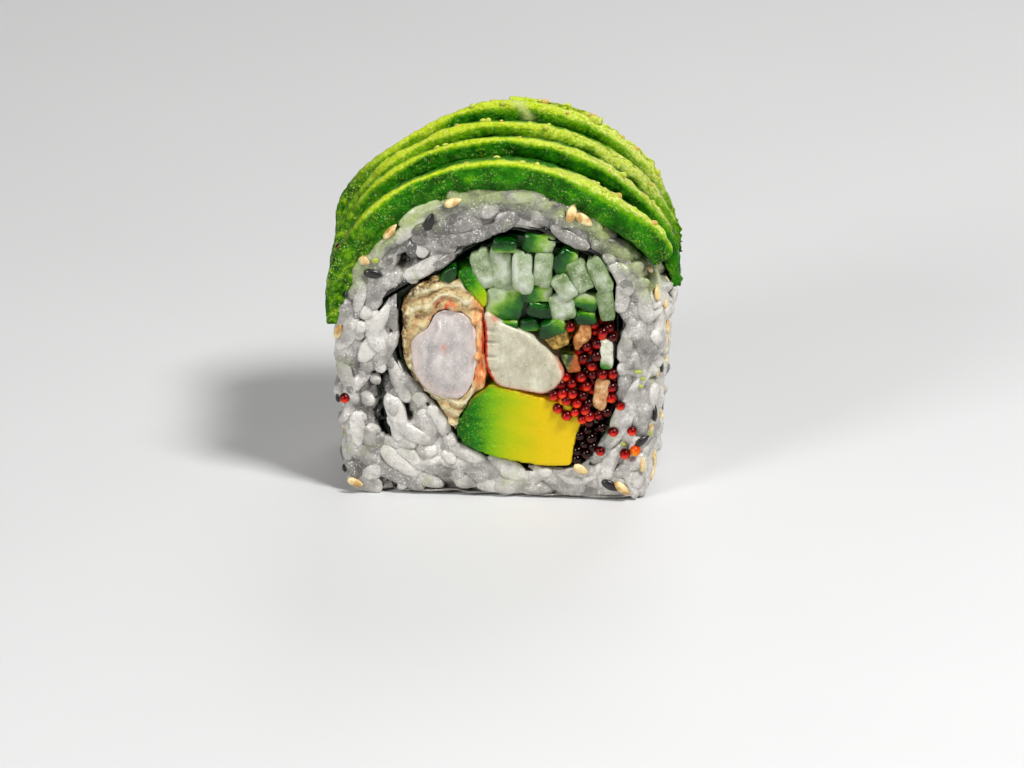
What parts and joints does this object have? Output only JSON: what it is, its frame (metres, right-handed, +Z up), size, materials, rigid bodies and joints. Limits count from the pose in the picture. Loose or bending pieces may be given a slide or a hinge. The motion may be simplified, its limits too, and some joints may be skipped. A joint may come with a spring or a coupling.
{
  "type": "uramaki roll",
  "caption": "Uramaki roll piece: rice outside, nori round prawn, crab stick, avocado, cucumber and roe, with shingled avocado slices over its arched top.",
  "frame": {"origin": "middle of the flat base, under the middle of the piece's box", "axes": "+Z up; the front cut faces -Y and the roll's own axis is Y, so the fillings run along Y; +X is to the right seen from the front"},
  "size_m": [0.0518, 0.0274, 0.0533],
  "materials": {
    "rice": "cooked short-grain rice, moist and slightly glossy",
    "nori": "dark toasted seaweed sheet, damp",
    "prawn": "cooked prawn flesh, moist",
    "batter": "soft fried tempura batter",
    "surimi": "smooth crab-stick flesh with an orange-red rim",
    "avocado": "ripe avocado flesh, green at the skin side, yellow inside",
    "avocado_skin_side": "ripe avocado slices, deep green rim, yellow-green cut face",
    "cucumber": "wet cut cucumber, dark green skin",
    "stained_cucumber": "cucumber stained by the roe",
    "roe": "glossy red fish roe"
  },
  "bodies": {
    "root": {"rice": "rice", "nori": "nori", "prawn": "prawn", "batter": "batter", "surimi": "surimi", "avocado_filling": "avocado", "avocado_sliver": "avocado", "cucumber": "cucumber", "cucumber_end": "cucumber", "roe": "roe", "strip_olive": "stained_cucumber", "strip_tan": "stained_cucumber", "strip_dark": "stained_cucumber", "strip_white": "cucumber", "strip_pale": "stained_cucumber", "avocado_slice_1": "avocado_skin_side", "avocado_slice_2": "avocado_skin_side", "avocado_slice_3": "avocado_skin_side", "avocado_slice_4": "avocado_skin_side", "avocado_slice_5": "avocado_skin_side"}
  },
  "joints": []
}
